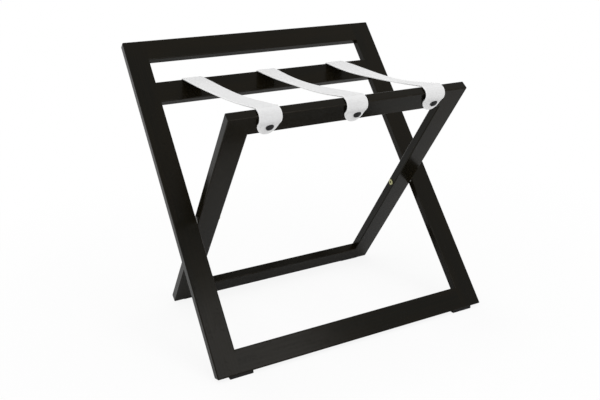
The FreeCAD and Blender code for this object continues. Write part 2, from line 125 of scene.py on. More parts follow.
class Signal:
    """A number that varies over a surface. Arithmetic on it adds Math nodes."""

    def __init__(self, tree, socket):
        self.tree = tree
        self.socket = socket

    def maths(self, operation, *operands):
        node = self.tree.nodes.new("ShaderNodeMath")
        node.operation = operation
        for entry, operand in zip(node.inputs, operands):
            if isinstance(operand, Signal):
                self.tree.links.new(operand.socket, entry)
            else:
                entry.default_value = operand
        return Signal(self.tree, node.outputs[0])

    def __add__(self, other):
        return self.maths("ADD", self, other)

    __radd__ = __add__

    def __sub__(self, other):
        return self.maths("SUBTRACT", self, other)

    def __rsub__(self, other):
        return self.maths("SUBTRACT", other, self)

    def __mul__(self, other):
        return self.maths("MULTIPLY", self, other)

    __rmul__ = __mul__

    def __truediv__(self, other):
        return self.maths("DIVIDE", self, other)

    def __pow__(self, other):
        return self.maths("POWER", self, other)

    def __abs__(self):
        return self.maths("ABSOLUTE", self)

    def fraction(self):
        return self.maths("FRACT", self)

    def or_more(self, other):
        return self.maths("MAXIMUM", self, other)

    def or_less(self, other):
        return self.maths("MINIMUM", self, other)

    def rising(self, low, high):
        """0 below low, 1 above high and smooth between."""
        return eased(((self - low) / (high - low)).or_more(0.0).or_less(1.0))


# Rays that show what they meet: from the camera, from a reflection and through glass.
SEEN_RAYS = ("Is Camera Ray", "Is Glossy Ray", "Is Transmission Ray")


class Nodes:
    """The nodes of one material or world. Every node but those of arithmetic comes from add."""

    def __init__(self, owner):
        owner.use_nodes = True
        self.tree = owner.node_tree
        self.tree.nodes.clear()

    def add(self, kind, settings=None, inputs=None):
        """One node: its settings are made first, then its inputs are set or linked."""
        node = self.tree.nodes.new(kind)
        for key, value in (settings or {}).items():
            setattr(node, key, value)
        for key, value in (inputs or {}).items():
            self.feed(self.entry(node, key), value)
        return node

    def entry(self, node, key):
        """A node's input by place, identifier or name."""
        if isinstance(key, int):
            return node.inputs[key]
        for socket in node.inputs:
            if socket.identifier == key and socket.enabled:
                return socket
        return node.inputs[key]

    def feed(self, entry, value):
        if isinstance(value, Signal):
            self.tree.links.new(value.socket, entry)
        elif isinstance(value, bpy.types.NodeSocket):
            self.tree.links.new(value, entry)
        else:
            entry.default_value = value

    def signal(self, socket):
        return Signal(self.tree, socket)

    def seen_rays(self, *kinds):
        """1 for rays of the named kinds, else 0. If none is named, for all that show a surface."""
        path = self.add("ShaderNodeLightPath")
        rays = [self.signal(path.outputs[kind]) for kind in kinds or SEEN_RAYS]
        seen = rays[0]
        for ray in rays[1:]:
            seen = seen.or_more(ray)
        return seen


class Finish(Nodes):
    """A material being made, round its one surface shader."""

    def __init__(self, name, **constants):
        self.material = bpy.data.materials.new(name)
        super().__init__(self.material)
        self.shader = self.add("ShaderNodeBsdfPrincipled")
        self.set(**constants)
        self.output = self.add("ShaderNodeOutputMaterial", {}, {"Surface": self.shader.outputs[0]})

    def set(self, **sockets):
        for key, value in sockets.items():
            self.feed(self.entry(self.shader, key.replace("_", " ")), value)

    def done(self, colour, rough, height, depth, under=None, **sockets):
        """The finished material, with its colour, its roughness and a relief."""
        normal = self.relief(height, depth, under)
        self.set(Base_Color=colour, Roughness=rough, Normal=normal, **sockets)
        return self.material

    def along(self, vector_socket, direction):
        """How far a place lies along a direction."""
        node = self.add("ShaderNodeVectorMath", {"operation": "DOT_PRODUCT"},
                        {0: vector_socket, 1: direction})
        return self.signal(node.outputs["Value"])

    def solid_places(self):
        """Places in the piece as it stands at rest, in millimetres: across, to the rear and up."""
        solid = self.add("ShaderNodeTexCoord").outputs["Object"]
        return [self.along(solid, axis) / MM for axis in (ACROSS, REARWARD, UPWARD)]

    def flat_places(self):
        """Places on the flat leather in millimetres: along the strap and across it."""
        flat = self.add("ShaderNodeUVMap", {"uv_map": "flat_leather"}).outputs[0]
        return [self.along(flat, axis) / MM for axis in (ACROSS, REARWARD)]

    def place(self, x, y, z):
        return self.add("ShaderNodeCombineXYZ", {}, {0: x, 1: y, 2: z}).outputs[0]

    def noise(self, x, y, z, detail=2.0, roughness=0.5):
        """Cloudy noise from 0 to 1; a step of 1 in x, y or z is about one cloud."""
        node = self.add("ShaderNodeTexNoise", {"noise_dimensions": "3D"},
                        {"Vector": self.place(x, y, z), "Scale": 1.0, "Detail": detail,
                         "Roughness": roughness})
        return self.signal(node.outputs[0])

    def cells(self, x, y, z, feature="F1", jitter=1.0):
        """The distance inside scattered cells; a step of 1 is about one cell."""
        node = self.add("ShaderNodeTexVoronoi",
                        {"voronoi_dimensions": "3D", "feature": feature},
                        {"Vector": self.place(x, y, z), "Scale": 1.0, "Randomness": jitter})
        return self.signal(node.outputs["Distance"])

    def blend(self, share, low, high):
        """A colour from low to high as share goes from 0 to 1."""
        node = self.add("ShaderNodeMix", {"data_type": "RGBA", "clamp_factor": True},
                        {"Factor_Float": share, "A_Color": rgba(low), "B_Color": rgba(high)})
        return node.outputs[2]

    def relief(self, height, depth, under=None):
        """A bump whose height signal of 1 is as deep as depth, in metres."""
        inputs = {"Height": height, "Strength": 1.0, "Distance": depth}
        if under is not None:
            inputs["Normal"] = under
        return self.add("ShaderNodeBump", {}, inputs).outputs[0]


# ---- finishes ----

# Places are in millimetres, so a place divided by a number is noise or cells about that large.

def stained_wood(name, grain, face, shift, look):
    """Near-black satin stain over straight-grained wood, drawn through the whole board."""
    finish = Finish(name, Specular_IOR_Level=look.gloss_level)
    coordinates = finish.add("ShaderNodeTexCoord")
    solid = coordinates.outputs["Object"]
    normal = coordinates.outputs["Normal"]
    across = face.cross(grain)
    # Places in millimetres: along the grain, across the board's face and through its thickness.
    millimetre = 1 / MM
    u = finish.along(solid, grain) * millimetre + shift
    v = finish.along(solid, across) * millimetre
    w = finish.along(solid, face) * millimetre

    # Growth rings run round a pith that lies beside the board, and a little off its course.
    pith_aside = 70 - 9 * (shift % 7)
    pith_behind = 85
    wander = finish.noise(u / 140, v / 30, w / 30, 2.0) - 0.5
    from_pith_v = v - pith_aside + wander * 9
    from_pith_w = w + pith_behind + wander * 5
    from_pith = (from_pith_v * from_pith_v + from_pith_w * from_pith_w) ** 0.5
    ring = (from_pith / look.ring_spacing).fraction()
    latewood = ring.rising(0.45, 0.92) * (1 - ring.rising(0.93, 1.0))

    fibres = finish.noise(u / 34, v / 0.55, w / 0.55, 4.0, 0.62)
    streaks = finish.noise(u / 120, v / 2.6, w / 2.6, 3.0, 0.55)
    pores = 1 - finish.cells(u / 7.5, v / 0.75, w / 0.75).rising(0.16, 0.34)
    pores = pores * finish.noise(u / 40, v / 6, w / 6, 1.0).rising(0.42, 0.60)
    tone = finish.noise(u / 210, v / 60, w / 60, 1.0)
    smudge = finish.noise(u / 38, v / 30, w / 30, 3.0, 0.6)

    # Flat faces look along one of the board's axes, and the rounded arrises don't.
    flatness = abs(finish.along(normal, grain))
    flatness = flatness.or_more(abs(finish.along(normal, across)))
    flatness = flatness.or_more(abs(finish.along(normal, face)))
    arris = 1 - flatness.rising(0.80, 0.985)
    # The rounded arrises are painted lighter: partly stain worn thin, partly a painted highlight
    # where the rounding catches the light.
    rubbed = arris * (0.3 + 0.7 * finish.noise(u / 26, v / 9, w / 9, 4.0, 0.7).rising(0.44, 0.70))

    base = finish.blend(tone.rising(0.35, 0.65), look.stain_cool, look.stain_warm)
    grain_share = (0.55 * latewood + 0.75 * streaks.rising(0.40, 0.75)) * look.grain_strength
    base = finish.blend(grain_share, base, look.grain_brown)
    base = finish.blend(pores * 0.8, base, look.pore_colour)
    # Lighter arrises: worn stain and a painted highlight.
    base = finish.blend(rubbed * look.arris_wear_and_highlight, base, look.rubbed_and_highlight_colour)
    rough = look.roughness + 0.10 * (smudge - 0.5) + 0.07 * pores - 0.05 * latewood - 0.06 * arris
    height = 0.45 * fibres - 0.9 * pores + 0.25 * latewood
    brushed = finish.relief(height, look.grain_depth * MM)
    waves = finish.noise(u / 60, v / 24, w / 24, 1.0)
    return finish.done(base, rough, waves, look.wave_depth * MM, brushed)


def leather_grain_side(name, shift, look):
    """Pale smooth leather: fine pebbled grain, cloudy tone, and creases where it bends."""
    finish = Finish(name, Specular_IOR_Level=0.14)
    s, x = finish.flat_places()
    s = s + shift
    bend = finish.signal(finish.add("ShaderNodeAttribute",
                                    {"attribute_name": "tight_bend"}).outputs["Fac"])
    warp = finish.noise(s / 5, x / 5, 0.0, 2.0) - 0.5
    pebble = finish.cells(s / 1.15 + warp, x / 0.95 - warp, 0.0, "SMOOTH_F1", 0.9)
    valleys = pebble.rising(0.30, 0.85)
    pinholes = 1 - finish.cells(s / 2.3, x / 2.3, 4.0).rising(0.05, 0.16)
    cloud = finish.noise(s / 42, x / 26, 2.0, 3.0, 0.55)
    fine_cloud = finish.noise(s / 7, x / 7, 5.0, 3.0, 0.6)
    creases = (1 - finish.cells(s / 3.2 + 2 * warp, x / 17, 9.0,
                                "DISTANCE_TO_EDGE").rising(0.0, 0.16)) * bend

    colour = finish.blend(cloud.rising(0.30, 0.70), look.grain_shade, look.grain_light)
    colour = finish.blend(fine_cloud.rising(0.45, 0.75) * 0.35, colour, look.grain_light)
    # Pebble valleys, pinholes and creases are painted darker: painted shade in the hollows.
    painted_hollow_shade = 0.16 * valleys + 0.35 * pinholes + 0.30 * creases
    colour = finish.blend(painted_hollow_shade, colour, look.hollow_shade_colour)
    rough = look.roughness + 0.12 * (fine_cloud - 0.5) + 0.06 * valleys + 0.08 * creases
    height = -0.55 * valleys - 0.5 * pinholes - 1.4 * creases
    pebbled = finish.relief(height, look.grain_depth * MM)
    return finish.done(colour, rough, cloud, 0.12 * MM, pebbled)


def leather_cut_edge(name, look):
    """The cut edge: pressed fibres in thin layers, paler than the grain side."""
    finish = Finish(name, Specular_IOR_Level=0.2)
    s, depth = finish.flat_places()
    layers = finish.noise(s / 6, depth / 0.22, 3.0, 3.0, 0.6)
    fuzz = finish.noise(s / 0.5, depth / 0.3, 7.0, 2.0, 0.6)
    colour = finish.blend(layers.rising(0.30, 0.72), look.edge_shade, look.edge_light)
    rough = 0.72 + 0.14 * (fuzz - 0.5)
    return finish.done(colour, rough, 0.6 * layers + 0.5 * fuzz, 0.12 * MM)


def leather_flesh_side(name, look):
    """The underside: matt suede with a short nap, darker than the grain side, and kept dark partly
    as painted shade under the straps.
    """
    finish = Finish(name, Specular_IOR_Level=0.12, Sheen_Weight=0.15, Sheen_Roughness=0.6)
    s, x = finish.flat_places()
    nap = finish.noise(s / 0.7, x / 0.5, 11.0, 4.0, 0.7)
    patches = finish.noise(s / 16, x / 12, 13.0, 3.0, 0.6)
    colour = finish.blend(patches.rising(0.3, 0.7), look.flesh_shade, look.flesh_light)
    colour = finish.blend(0.35 * nap.rising(0.5, 0.8), colour, look.edge_light)
    rough = 0.90 + 0.08 * (nap - 0.5)
    return finish.done(colour, rough, nap + 0.6 * patches, 0.16 * MM)


def aged_brass(name, look):
    """Turned brass gone dull and slightly green, with fine scuffs and dark spots."""
    finish = Finish(name)
    x, y, z = finish.solid_places()
    reach_y = y - PIVOT.y / MM
    reach_z = z - PIVOT.z / MM
    radius = (reach_y * reach_y + reach_z * reach_z) ** 0.5
    turning = finish.noise(radius / 0.16, x / 3, 0.0, 2.0)
    bloom = finish.noise(x / 2.2, y / 2.2, z / 2.2, 4.0, 0.65)
    spots = finish.noise(x / 0.6, y / 0.6, z / 0.6, 2.0).rising(0.62, 0.75)
    scuffs = finish.noise(x / 0.3, y / 4, z / 0.3, 3.0, 0.7)
    colour = finish.blend(bloom.rising(0.35, 0.65), look.brass_bright, look.brass_dull)
    colour = finish.blend(0.5 * spots, colour, look.brass_spot)
    rough = 0.34 + 0.22 * bloom + 0.10 * (scuffs - 0.5)
    height = 0.6 * turning + 0.3 * scuffs - 0.3 * spots
    return finish.done(colour, rough, height, 0.02 * MM, Metallic=0.95 - 0.35 * spots)


def moulded_plastic(name, look):
    """Satin black moulded plastic with a fine spark texture and light rubbing."""
    finish = Finish(name, Specular_IOR_Level=0.18)
    x, y, z = finish.solid_places()
    spark = finish.noise(x / 0.22, y / 0.22, z / 0.22, 2.0)
    haze = finish.noise(x / 3.5, y / 3.5, z / 3.5, 3.0, 0.6)
    hairlines = 1 - finish.cells(x / 0.9, y / 7, z / 1.1, "DISTANCE_TO_EDGE").rising(0.0, 0.05)
    colour = finish.blend(haze.rising(0.3, 0.7), look.cap_black, look.cap_grey)
    colour = finish.blend(0.25 * hairlines, colour, look.cap_scuff)
    rough = 0.42 + 0.16 * (haze - 0.5) + 0.08 * hairlines
    return finish.done(colour, rough, 0.7 * spark - 0.4 * hairlines, 0.02 * MM)


def pad_rubber(name, look):
    """Matt black rubber: fine moulding speckle, pale dust low down on its sides."""
    finish = Finish(name, Specular_IOR_Level=0.25)
    x, y, z = finish.solid_places()
    speckle = finish.noise(x / 0.5, y / 0.5, z / 0.5, 3.0, 0.6)
    patches = finish.noise(x / 9, y / 9, z / 5, 3.0, 0.6)
    dust = patches.rising(0.45, 0.75) * (1 - z.rising(0.2, 4.0))
    colour = finish.blend(patches.rising(0.3, 0.7), look.rubber_dark, look.rubber_light)
    colour = finish.blend(0.35 * dust, colour, look.dust_colour)
    rough = 0.78 + 0.12 * (speckle - 0.5) + 0.06 * dust
    return finish.done(colour, rough, speckle, 0.06 * MM)


def pale_nylon(name, look):
    """Turned nylon, slightly milky and greyed."""
    finish = Finish(name, Specular_IOR_Level=0.5)
    x, y, z = finish.solid_places()
    tool_marks = finish.noise(x / 0.15, y / 6, z / 6, 2.0)
    milk = finish.noise(x / 8, y / 8, z / 8, 2.0)
    colour = finish.blend(milk.rising(0.3, 0.7), look.nylon_shade, look.nylon_light)
    rough = 0.40 + 0.12 * (tool_marks - 0.5)
    return finish.done(colour, rough, tool_marks, 0.02 * MM)


def fluted_beech(name, look):
    """Bare beech of the joint dowels: warm, with short dark flecks along the grain."""
    finish = Finish(name, Specular_IOR_Level=0.3)
    x, y, z = finish.solid_places()
    fibres = finish.noise(x / 12, y / 0.5, z / 0.5, 4.0, 0.6)
    flecks = 1 - finish.cells(x / 2.6, y / 0.6, z / 0.6).rising(0.12, 0.30)
    colour = finish.blend(fibres.rising(0.3, 0.7), look.beech_shade, look.beech_light)
    colour = finish.blend(0.45 * flecks, colour, look.beech_fleck)
    rough = 0.62 + 0.14 * (fibres - 0.5)
    return finish.done(colour, rough, fibres - flecks, 0.06 * MM)


def plated_steel(name, look):
    """Zinc-plated steel screws: grey, with a faint brushed haze."""
    finish = Finish(name)
    x, y, z = finish.solid_places()
    haze = finish.noise(x / 1.6, y / 1.6, z / 1.6, 3.0, 0.6)
    lines = finish.noise(x / 0.2, y / 2.5, z / 0.2, 2.0)
    colour = finish.blend(haze.rising(0.3, 0.7), look.steel_shade, look.steel_light)
    rough = 0.30 + 0.18 * haze
    return finish.done(colour, rough, lines, 0.015 * MM, Metallic=0.92 + 0.06 * haze)


def paint(node_name, material):
    """Puts a finish on a carried-over node's own material slots."""
    carried = frame["nodes"][node_name]
    if not carried.material_slots:
        carried.data.materials.append(material)
    for holder in carried.material_slots:
        holder.material = material


# ---- the strap's line ----

class BeltLine:
    """A line wrapped round circles in the side view, measured along its length.

    A station is (centre, radius, turn); turn is 1 to the left, -1 to the right, 0 for an end."""

    def __init__(self, stations):
        self.runs = []
        self.length = 0.0
        straights = []
        for (c0, r0, s0), (c1, r1, s1) in zip(stations, stations[1:]):
            step = c1 - c0
            shift = s1 * r1 - s0 * r0
            reach = math.sqrt(step.length_squared - shift * shift)
            angle = math.atan2(step.y, step.x) - math.atan2(shift, reach)
            normal = Vector((-math.sin(angle), math.cos(angle)))
            straights.append((c0 - s0 * r0 * normal, reach, angle))
        for k, (start, reach, angle) in enumerate(straights):
            self.append(("straight", start, angle, 0.0, reach))
            if k + 1 < len(straights):
                centre, radius, turn = stations[k + 1]
                swing = (straights[k + 1][2] - angle + math.pi) % (2 * math.pi) - math.pi
                self.append(("arc", centre, angle, turn * radius, abs(swing) * radius))

    def append(self, run):
        self.runs.append((self.length,) + run)
        self.length += run[4]

    def at(self, s):
        """The point, the direction's angle and the curvature, s along the line."""
        begin, kind, anchor, angle, radius, length = self.runs[0]
        for run in self.runs:
            if run[0] <= s:
                begin, kind, anchor, angle, radius, length = run
        along = s - begin
        if kind == "straight":
            return anchor + along * Vector((math.cos(angle), math.sin(angle))), angle, 0.0
        now = angle + along / radius
        normal = Vector((-math.sin(now), math.cos(now)))
        return anchor - radius * normal, now, 1 / radius

    def stops(self, longest, widest):
        """Where to cut the line: every longest metres, and every widest radians of a bend."""
        places = []
        for begin, kind, anchor, angle, radius, length in self.runs:
            pieces = math.ceil(length / longest)
            if kind == "arc":
                pieces = max(pieces, math.ceil(length / abs(radius) / widest))
            places += [begin + length * k / pieces for k in range(pieces)]
        return places + [self.length]


def strap_line(sizes):
    """The middle of the leather, from the tongue on the front rail to the one on the rear."""
    wood = sizes.off_wood + sizes.thickness / 2
    half = sizes.board_thickness / 2
    wrap = sizes.arris_radius + wood
    front_tab = sizes.board_width + sizes.overhang
    rear_tab = sizes.board_width - sizes.rear_stop
    loop_down = sizes.loop_radius - sizes.loop_lift - wood
    run_up = sizes.loop_length - loop_down
    both = (run_up ** 2 + sizes.loop_stand_off ** 2) / 2 / sizes.loop_stand_off
    flare_radius = sizes.bend_share * (both - sizes.loop_radius)
    front = sizes.front_rail_top
    rear = sizes.rear_rail_top

    def side(turn, up, out):
        return on_frame(turn, 0.0, up, out).yz

    front_end = side(INNER_TURN, front - front_tab, half + wood)
    flare = side(INNER_TURN, front - sizes.loop_length, half + wood + flare_radius)
    loop_out = half + wood + sizes.loop_stand_off - sizes.loop_radius
    loop = side(INNER_TURN, front - loop_down, loop_out)
    front_edge = side(INNER_TURN, front - sizes.arris_radius, sizes.arris_radius - half)
    rear_edge = side(OUTER_TURN, rear - sizes.arris_radius, half - sizes.arris_radius)
    rear_top = side(OUTER_TURN, rear - sizes.arris_radius, sizes.arris_radius - half)
    rear_end = side(OUTER_TURN, rear - rear_tab, -half - wood)
    chord = rear_edge - front_edge
    largest = (chord.length_squared / 4 + sizes.sag ** 2) / 2 / sizes.sag - wrap
    sag_radius = sizes.bend_share * largest
    height = wrap - sizes.sag + sag_radius
    square = Vector((-chord.y, chord.x)).normalized()
    sag = (front_edge + rear_edge) / 2 + height * square
    return BeltLine([(front_end, 0.0, 0), (flare, flare_radius, 1), (loop, sizes.loop_radius, -1),
                     (front_edge, wrap, -1), (sag, sag_radius, 1), (rear_edge, wrap, -1),
                     (rear_top, wrap, -1), (rear_end, 0.0, 0)])


# ---- the strap's mesh ----

# A strap's materials, in their order on its mesh.
GRAIN_SIDE, CUT_EDGE, FLESH_SIDE = 0, 1, 2

# The strap's line hangs free from this run to that one, between the two rails' arrises.
FIRST_FREE_RUN, LAST_FREE_RUN = 6, 8

# A bend of this radius or less creases fully, and the mesh cuts a bend into parts this wide.
CREASING_RADIUS = 6 * MM
WIDEST_CUT = math.radians(8)

# The open span's slight waves: metres to a radian, and the radians from one strap to the next.
WAVE_ALONG, WAVE_ACROSS = 0.052, 0.021
STEP_ALONG, STEP_ACROSS = 2.1, 1.3

# Curl and waves reach their full size at one part in this many of the span from its ends.
FREE_FROM = 5

# The low ring that a cap presses up round itself.
RING_RADIUS = 9.3 * MM
RING_WIDTH = 2.0 * MM


def strap_outline(line, sizes, inset):
    """The cross lines of the flat strap, drawn in by inset: (place, half width). Each end is a
    tongue, half an oval round a narrow flat tip."""
    half = sizes.width / 2 - inset
    flat = sizes.tip_flat / 2
    wide = half - flat
    rows = []
    tongues = ((0.0, 1, sizes.front_tongue), (line.length, -1, sizes.rear_tongue))
    for start, inward, reach in tongues:
        end = []
        for k in range(sizes.tongue_cuts):
            swing = math.pi / 2 * k / sizes.tongue_cuts
            back = inset + (reach - inset) * (1 - math.cos(swing))
            end.append((start + inward * back, flat + wide * math.sin(swing)))
        rows.append(end)
    sides = [(place, half) for place in line.stops(sizes.longest_cut, WIDEST_CUT)
             if sizes.front_tongue <= place <= line.length - sizes.rear_tongue]
    return rows[0] + sides + rows[1][::-1]


def sideways(s, line, sizes, index):
    """How far a cross line lies to the right: the front tongue leans, and the rear end drifts."""
    lean = sizes.tongue_leans[index] * max(0.0, 1 - s / sizes.lean_from)
    return lean + sizes.rear_drifts[index] * eased(open_span(s, line))


def open_span(s, line):
    """How far along the open span between the rails a place lies, from 0 to 1."""
    begin = line.runs[FIRST_FREE_RUN][0]
    end = line.runs[LAST_FREE_RUN + 1][0]
    return min(1.0, max(0.0, (s - begin) / (end - begin)))


def leather_lift(s, x, line, sizes, index):
    """How the leather leaves its ideal line in the open span: it sinks, rolls, curls and waves."""
    share = open_span(s, line)
    if share in (0.0, 1.0):
        return 0.0

    def waved(kind):
        heights = getattr(sizes, STRAPS[index] + kind)
        return sum(size * math.sin((k + 1) * math.pi * share) for k, size in enumerate(heights))

    outward = 2 * x / sizes.width
    free = min(1.0, FREE_FROM * min(share, 1 - share))
    wave = math.sin(s / WAVE_ALONG + STEP_ALONG * index)
    wave *= math.cos(x / WAVE_ACROSS + STEP_ACROSS * index)
    loose = sizes.curl * outward ** 2 + sizes.wave * wave
    return waved("_rise") + waved("_roll") * outward + loose * eased(free)


def pucker(s, x, line, sizes, index):
    """How far the grain side rises, in a low ring round each cap that presses on it."""
    lift = 0.0
    caps = ((sizes.cap_from_tip, sizes.cap_shifts[index]), (line.length - sizes.cap_from_tip, 0.0))
    for middle, shift in caps:
        away = math.hypot(s - middle, x - shift)
        lift += sizes.pucker * math.exp(-((away - RING_RADIUS) / RING_WIDTH) ** 2)
    return lift


def smooth_mesh(name, points, faces):
    mesh = bpy.data.meshes.new(name)
    mesh.from_pydata(points, [], faces)
    mesh.polygons.foreach_set("use_smooth", [True] * len(faces))
    return mesh


def strap_mesh(name, centre_x, index, sizes):
    """One strap: a grain side, a flesh side and rounded cut edges between them."""
    line = strap_line(sizes)
    columns = sizes.columns
    shares = [2 * j / columns - 1 for j in range(columns + 1)]
    rounding = sizes.edge_rounding
    half_t = sizes.thickness / 2
    points, plans, bends = [], [], []
    faces, face_kinds = [], []

    def vertex(s, x, t, plan=None):
        point, angle, curvature = line.at(s)
        across = centre_x + x + sideways(s, line, sizes, index)
        # The line runs to the rear, so its left side is up, away from the rails.
        t_all = t + leather_lift(s, x, line, sizes, index)
        if t >= half_t:
            t_all += pucker(s, across - centre_x, line, sizes, index)
        points.append((across, point.x - math.sin(angle) * t_all,
                       point.y + math.cos(angle) * t_all))
        plans.append(plan or (s, x))
        bends.append(min(1.0, abs(curvature) * CREASING_RADIUS))
        return len(points) - 1

    def face(corners, kind):
        faces.append(corners)
        face_kinds.append(kind)

    def places(inset):
        """Rows of places (s, x) on the flat strap, drawn in by inset."""
        outline = strap_outline(line, sizes, inset)
        return [[(s, half * share) for share in shares] for s, half in outline]

    def rim(rows):
        """What stands round the edge of a grid, in order."""
        loop = [row[0] for row in rows] + rows[-1][1:-1]
        return loop + [row[-1] for row in reversed(rows)] + rows[0][-2:0:-1]

    def band(ring, next_ring):
        """The cut edge's faces from one ring of vertices to the next."""
        for k in range(len(ring)):
            after = (k + 1) % len(ring)
            face([ring[k], ring[after], next_ring[after], next_ring[k]], CUT_EDGE)
        return next_ring

    grids = {}
    for kind, height in ((GRAIN_SIDE, half_t), (FLESH_SIDE, -half_t)):
        grid = [[vertex(s, x, height) for s, x in row] for row in places(rounding)]
        grids[kind] = grid
        for low, high in zip(grid, grid[1:]):
            for j in range(columns):
                corners = [low[j], high[j], high[j + 1], low[j + 1]]
                face(corners[::-1] if kind == GRAIN_SIDE else corners, kind)

    steps = sizes.edge_cuts
    levels = []
    for k in range(1, steps + 1):
        swing = math.pi / 2 * k / steps
        inset = rounding * (1 - math.sin(swing))
        levels.append((inset, half_t - rounding * (1 - math.cos(swing))))
    levels += [(inset, -height) for inset, height in reversed(levels)]
    marks = [0.0]
    outline = rim(places(0.0))
    for (s0, x0), (s1, x1) in zip(outline, outline[1:]):
        marks.append(marks[-1] + math.hypot(s1 - s0, x1 - x0))
    previous = rim(grids[GRAIN_SIDE])
    for inset, height in levels[:-1]:
        ring = [vertex(s, x, height, (mark, height))
                for (s, x), mark in zip(rim(places(inset)), marks)]
        previous = band(previous, ring)
    band(previous, rim(grids[FLESH_SIDE]))

    mesh = smooth_mesh(name, points, faces)
    mesh.polygons.foreach_set("material_index", face_kinds)
    flat = mesh.uv_layers.new(name="flat_leather")
    for corner in mesh.loops:
        flat.data[corner.index].uv = plans[corner.vertex_index]
    tight = mesh.attributes.new("tight_bend", "FLOAT", "POINT")
    tight.data.foreach_set("value", bends)
    mesh.validate()
    return mesh


# ---- turned pieces ----

def turned_mesh(name, outline, around, places):
    """An outline of (radius, height) turned about an axis, once at every place (a matrix)."""
    points = []
    faces = []
    for place in places:
        rings = []
        for radius, height in outline:
            ring = []
            count = around if radius > 0 else 1
            for k in range(count):
                angle = 2 * math.pi * k / count
                spot = Vector((radius * math.cos(angle), radius * math.sin(angle), height))
                points.append(place @ spot)
                ring.append(len(points) - 1)
            rings.append(ring)
        for low, high in zip(rings, rings[1:]):
            for k in range(around):
                after = (k + 1) % around
                if len(low) == 1:
                    faces.append((low[0], high[after], high[k]))
                elif len(high) == 1:
                    faces.append((low[k], low[after], high[0]))
                else:
                    faces.append((low[k], low[after], high[after], high[k]))
    mesh = smooth_mesh(name, points, faces)
    mesh.validate()
    return mesh


def rounded_outline(corners, cuts):
    """Corners of (radius, height, rounding), with each corner turned into a short arc."""
    drawn = []
    for k, (radius, height, rounding) in enumerate(corners):
        here = Vector((radius, height))
        if rounding == 0:
            drawn.append((radius, height))
            continue
        before = Vector(corners[k - 1][:2]) - here
        after = Vector(corners[k + 1][:2]) - here
        begin = here + before.normalized() * rounding
        end = here + after.normalized() * rounding
        for j in range(cuts + 1):
            t = j / cuts
            spot = begin * (1 - t) ** 2 + here * 2 * t * (1 - t) + end * t ** 2
            drawn.append((spot.x, spot.y))
    return drawn


def shown(name, data, *materials):
    """A new object in the scene, with its materials in order."""
    thing = bpy.data.objects.new(name, data)
    bpy.context.scene.collection.objects.link(thing)
    for material in materials:
        data.materials.append(material)
    return thing


# ---- settings ----

def colour_of(name, description, *value):
    return FloatVectorProperty(name=name, description=description, default=value,
                               subtype="COLOR", size=3, min=0.0, max=1.0)


def length_of(name, description, millimetres):
    return FloatProperty(name=name, description=description, default=millimetres * MM,
                         subtype="DISTANCE", unit="LENGTH", min=0.0, precision=5)


def lengths_of(name, description, *millimetres):
    return FloatVectorProperty(name=name, description=description, size=len(millimetres),
                               default=[each * MM for each in millimetres],
                               subtype="XYZ_LENGTH", unit="LENGTH", precision=5)


def share_of(name, description, value):
    return FloatProperty(name=name, description=description, default=value,
                         subtype="FACTOR", min=0.0, max=1.0)


def number_of(name, description, value):
    return FloatProperty(name=name, description=description, default=value, min=0.0)


def count_of(name, description, value, least):
    return IntProperty(name=name, description=description, default=value, min=least)


def angle_of(name, description, degrees):
    return FloatProperty(name=name, description=description, default=math.radians(degrees),
                         subtype="ANGLE", unit="ROTATION")


def direction_of(name, description, *value):
    return FloatVectorProperty(name=name, description=description, default=value, size=3,
                               subtype="DIRECTION")


class WoodLook(PropertyGroup):
    """The stained boards."""

    stain_cool: colour_of("Cool stain", "Stain where it is greyest", 0.0052, 0.0048, 0.0030)
    stain_warm: colour_of("Warm stain", "Stain where it is brownest", 0.0072, 0.0057, 0.0028)
    grain_brown: colour_of("Grain", "Latewood and streaks under the stain", 0.0105, 0.0079, 0.0044)
    pore_colour: colour_of("Pores", "Bottom of the open pores", 0.0018, 0.0016, 0.0011)
    # Lighter colour of the arrises: worn stain and a painted highlight.
    rubbed_and_highlight_colour: colour_of("Rubbed edges and highlight", "Stain worn thin on the arrises", 0.060, 0.050, 0.040)
    grain_strength: share_of("Grain strength", "How far the grain shows", 0.42)
    arris_wear_and_highlight: share_of("Wear and highlight", "How far the arrises are rubbed and given a painted highlight", 0.35)
    roughness: share_of("Roughness", "Of the satin lacquer", 0.20)
    gloss_level: share_of("Gloss level", "Strength of the lacquer's reflection", 0.079)
    ring_spacing: number_of("Ring spacing", "Growth rings, in millimetres", 3.4)
    grain_depth: number_of("Grain depth", "Relief of fibres and pores, in millimetres", 0.035)
    wave_depth: number_of("Wave depth", "Unevenness left by sanding, in millimetres", 0.12)


class LeatherLook(PropertyGroup):
    """The strap leather."""

    grain_light: colour_of("Grain light", "Palest grain side", 0.785, 0.785, 0.787)
    grain_shade: colour_of("Grain shade", "Deepest tone of the grain side", 0.760, 0.761, 0.764)
    # Painted shade for the pebble valleys, pinholes and bend creases.
    hollow_shade_colour: colour_of("Creases", "Pores, valleys and creases", 0.545, 0.540, 0.535)
    edge_light: colour_of("Edge light", "Palest cut fibres", 0.950, 0.950, 0.948)
    edge_shade: colour_of("Edge shade", "Deeper cut fibres", 0.890, 0.889, 0.885)
    # The suede is kept dark partly as painted shade: it deepens the shade under the straps and in
    # the gaps at the tongues.
    flesh_light: colour_of("Flesh light", "Palest suede", 0.420, 0.405, 0.380)
    flesh_shade: colour_of("Flesh shade", "Deeper suede", 0.330, 0.315, 0.290)
    roughness: share_of("Roughness", "Of the grain side", 0.56)
    grain_depth: number_of("Grain depth", "Relief of the pebbles, in millimetres", 0.08)


